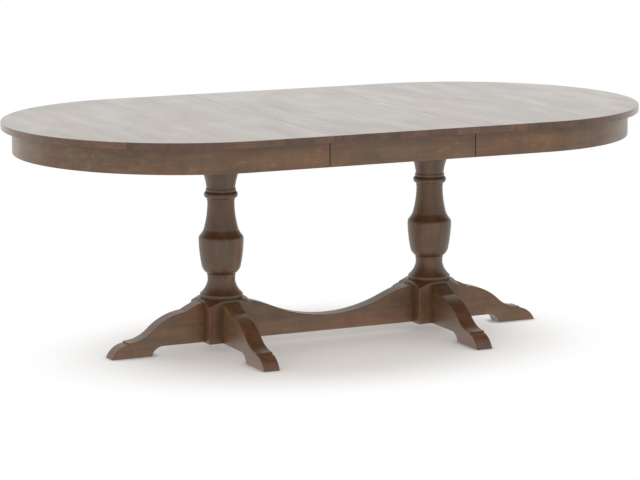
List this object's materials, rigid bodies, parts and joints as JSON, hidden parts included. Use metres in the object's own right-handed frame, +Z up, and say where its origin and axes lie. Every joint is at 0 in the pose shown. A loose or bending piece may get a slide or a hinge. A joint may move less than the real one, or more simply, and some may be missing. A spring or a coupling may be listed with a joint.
{
  "type": "oval dining table",
  "caption": "Oval wooden extension dining table with a removable centre leaf, an apron and turned pedestals joined by a curved stretcher.",
  "frame": {"origin": "on the floor, under the centre of the table", "axes": "+X along the table, +Z up"},
  "size_m": [2.1838, 1.168, 0.762],
  "materials": {
    "top_wood": "satin grey-brown stain, boards across the table",
    "apron_wood": "satin grey-brown stain, grain along the rail",
    "base_wood": "satin grey-brown stain",
    "inner_wood": "plain unstained hardwood",
    "steel": "zinc plated",
    "nylon": "matt natural nylon"
  },
  "bodies": {
    "base": {"left_post": "base_wood", "right_post": "base_wood", "left_cleat": "inner_wood", "right_cleat": "inner_wood", "stretcher": "base_wood", "leg_dowels": "inner_wood", "foot_glides": "nylon", "stretcher_dowels": "inner_wood", "cleat_screws": "steel", "centre_rail_screws": "steel", "front_centre_rail": "inner_wood", "back_centre_rail": "inner_wood", "front_pinion_pin": "steel", "back_pinion_pin": "steel", "left_end_leg": "base_wood", "left_front_leg": "base_wood", "left_back_leg": "base_wood", "right_end_leg": "base_wood", "right_front_leg": "base_wood", "right_back_leg": "base_wood"},
    "left_half": {"left_top": "top_wood", "left_apron": "apron_wood", "left_glue_blocks": "inner_wood", "left_battens": "inner_wood", "left_alignment_pins": "steel", "left_slide_screws": "steel", "left_front_slide": "inner_wood", "left_back_slide": "inner_wood", "left_front_rack": "nylon", "left_back_rack": "nylon"},
    "right_half": {"right_top": "top_wood", "right_apron": "apron_wood", "right_glue_blocks": "inner_wood", "right_battens": "inner_wood", "right_alignment_pins": "steel", "right_slide_screws": "steel", "right_front_slide": "inner_wood", "right_back_slide": "inner_wood", "right_front_rack": "nylon", "right_back_rack": "nylon"},
    "leaf": {"leaf_top": "top_wood", "leaf_front_apron": "apron_wood", "leaf_back_apron": "apron_wood", "leaf_battens": "inner_wood", "leaf_glue_blocks": "inner_wood"},
    "front_pinion": {"front_pinion": "nylon"},
    "back_pinion": {"back_pinion": "nylon"}
  },
  "joints": [
    {"name": "left_half_slide", "type": "slide", "parent": "base", "child": "left_half", "axis": [-1, 0, 0], "range_m": [0, 0.076]},
    {"name": "right_half_slide", "type": "slide", "parent": "base", "child": "right_half", "axis": [1, 0, 0], "range_m": [0, 0.076]},
    {"name": "leaf_lift", "type": "slide", "parent": "base", "child": "leaf", "axis": [0, 0, 1], "range_m": [0, 0.3]},
    {"name": "front_pinion_spin", "type": "hinge", "parent": "base", "child": "front_pinion", "pos_m": [0, -0.2, 0.699], "axis": [0, 0, 1], "range_deg": [-195, 0]},
    {"name": "back_pinion_spin", "type": "hinge", "parent": "base", "child": "back_pinion", "pos_m": [0, 0.2, 0.699], "axis": [0, 0, 1], "range_deg": [-195, 0]}
  ],
  "couplings": [
    {"joint": "right_half_slide", "follows": "left_half_slide", "ratio": 1},
    {"joint": "front_pinion_spin", "follows": "left_half_slide", "rad_per_m": -44.444},
    {"joint": "back_pinion_spin", "follows": "left_half_slide", "rad_per_m": -44.444}
  ]
}
